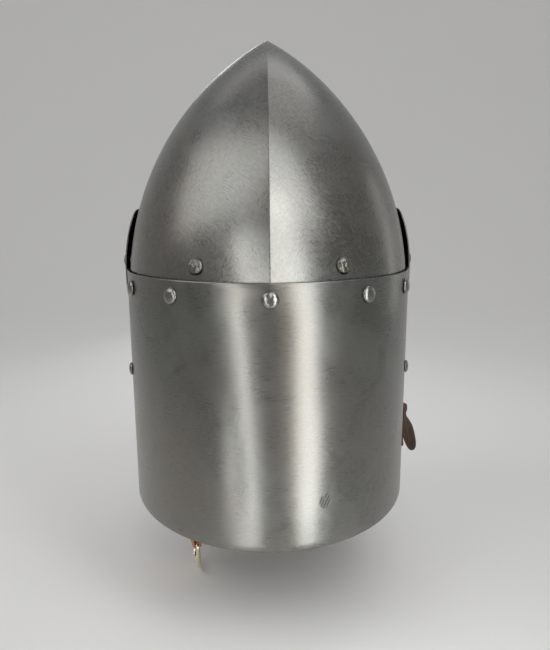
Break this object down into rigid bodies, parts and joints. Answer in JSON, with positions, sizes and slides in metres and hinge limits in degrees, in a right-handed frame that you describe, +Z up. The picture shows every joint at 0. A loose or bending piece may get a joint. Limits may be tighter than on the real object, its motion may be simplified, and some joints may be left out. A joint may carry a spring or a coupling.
{
  "type": "medieval helmet",
  "caption": "Pointed riveted steel helmet with a ridged skull, wrapped back plate, lifting visor, leather liner and buckled chin strap.",
  "frame": {"origin": "middle of the head opening, in the plane of the back plate's lower rim, under the apex", "axes": "+Z up to the apex, +Y out of the face, +X to the wearer's right"},
  "size_m": [0.2329, 0.3003, 0.4125],
  "materials": {
    "plate_steel": "satin steel, brushed, with fine scratches",
    "visor_steel": "satin steel outside, blackened inside",
    "rivet_steel": "polished domed heads, duller where hammered",
    "buckle_brass": "pale polished brass",
    "strap_leather": "natural tan strap leather with raw edges",
    "dark_leather": "thick dark brown leather with red-brown edges",
    "liner_leather": "soft matt leather",
    "lace_leather": "round dark leather lace"
  },
  "bodies": {
    "helmet": {"skull": "plate_steel", "back_plate": "plate_steel", "seam_rivet_1": "rivet_steel", "seam_rivet_2": "rivet_steel", "seam_rivet_3": "rivet_steel", "seam_rivet_4": "rivet_steel", "seam_rivet_5": "rivet_steel", "liner_rivet_back_left": "rivet_steel", "liner_washer_back_left": "rivet_steel", "liner_rivet_back_right": "rivet_steel", "liner_washer_back_right": "rivet_steel", "liner_rivet_front_left": "rivet_steel", "liner_washer_front_left": "rivet_steel", "liner_rivet_front_right": "rivet_steel", "liner_washer_front_right": "rivet_steel", "chin_strap_rivet_left": "rivet_steel", "chin_strap_washer_left": "rivet_steel", "chin_strap_rivet_right": "rivet_steel", "chin_strap_washer_right": "rivet_steel", "visor_pivot_left": "rivet_steel", "pivot_spacer_left": "rivet_steel", "pivot_washer_left": "rivet_steel", "visor_pivot_right": "rivet_steel", "pivot_spacer_right": "rivet_steel", "pivot_washer_right": "rivet_steel", "liner": "liner_leather", "liner_lace": "lace_leather", "visor_strap_backing": "dark_leather", "visor_strap_rivet": "rivet_steel", "visor_strap_washer": "rivet_steel"},
    "visor": {"visor": "visor_steel", "visor_stud": "rivet_steel"},
    "chin_strap_left": {"chin_strap_left": "strap_leather", "buckle_fold_rivet": "rivet_steel"},
    "buckle_frame": {"buckle_frame": "buckle_brass"},
    "buckle_prong": {"buckle_prong": "buckle_brass"},
    "chin_strap_right": {"chin_strap_right": "strap_leather"},
    "visor_strap": {"visor_strap": "dark_leather"}
  },
  "joints": [
    {"name": "visor_hinge", "type": "hinge", "parent": "helmet", "child": "visor", "pos_m": [0, 0, 0.178], "axis": [1, 0, 0], "range_deg": [0, 36]},
    {"name": "chin_strap_left_swing", "type": "hinge", "parent": "helmet", "child": "chin_strap_left", "pos_m": [-0.10429, -0.03781, 0.098], "axis": [-0.9751, -0.2211, -0.0148], "range_deg": [-25, 25]},
    {"name": "chin_strap_right_swing", "type": "hinge", "parent": "helmet", "child": "chin_strap_right", "pos_m": [0.10429, -0.03781, 0.098], "axis": [0.9751, -0.2211, -0.0148], "range_deg": [-25, 25]},
    {"name": "buckle_tilt", "type": "hinge", "parent": "chin_strap_left", "child": "buckle_frame", "pos_m": [-0.06051, -0.02789, -0.04635], "axis": [-0.2211, 0.9752, 0], "range_deg": [-40, 60]},
    {"name": "prong_swing", "type": "hinge", "parent": "buckle_frame", "child": "buckle_prong", "pos_m": [-0.06051, -0.02789, -0.04635], "axis": [-0.2211, 0.9752, 0], "range_deg": [-60, 0]},
    {"name": "visor_strap_swing", "type": "hinge", "parent": "helmet", "child": "visor_strap", "pos_m": [0.1076, 0, 0.054], "axis": [1, 0, 0], "range_deg": [-45, 55]}
  ]
}
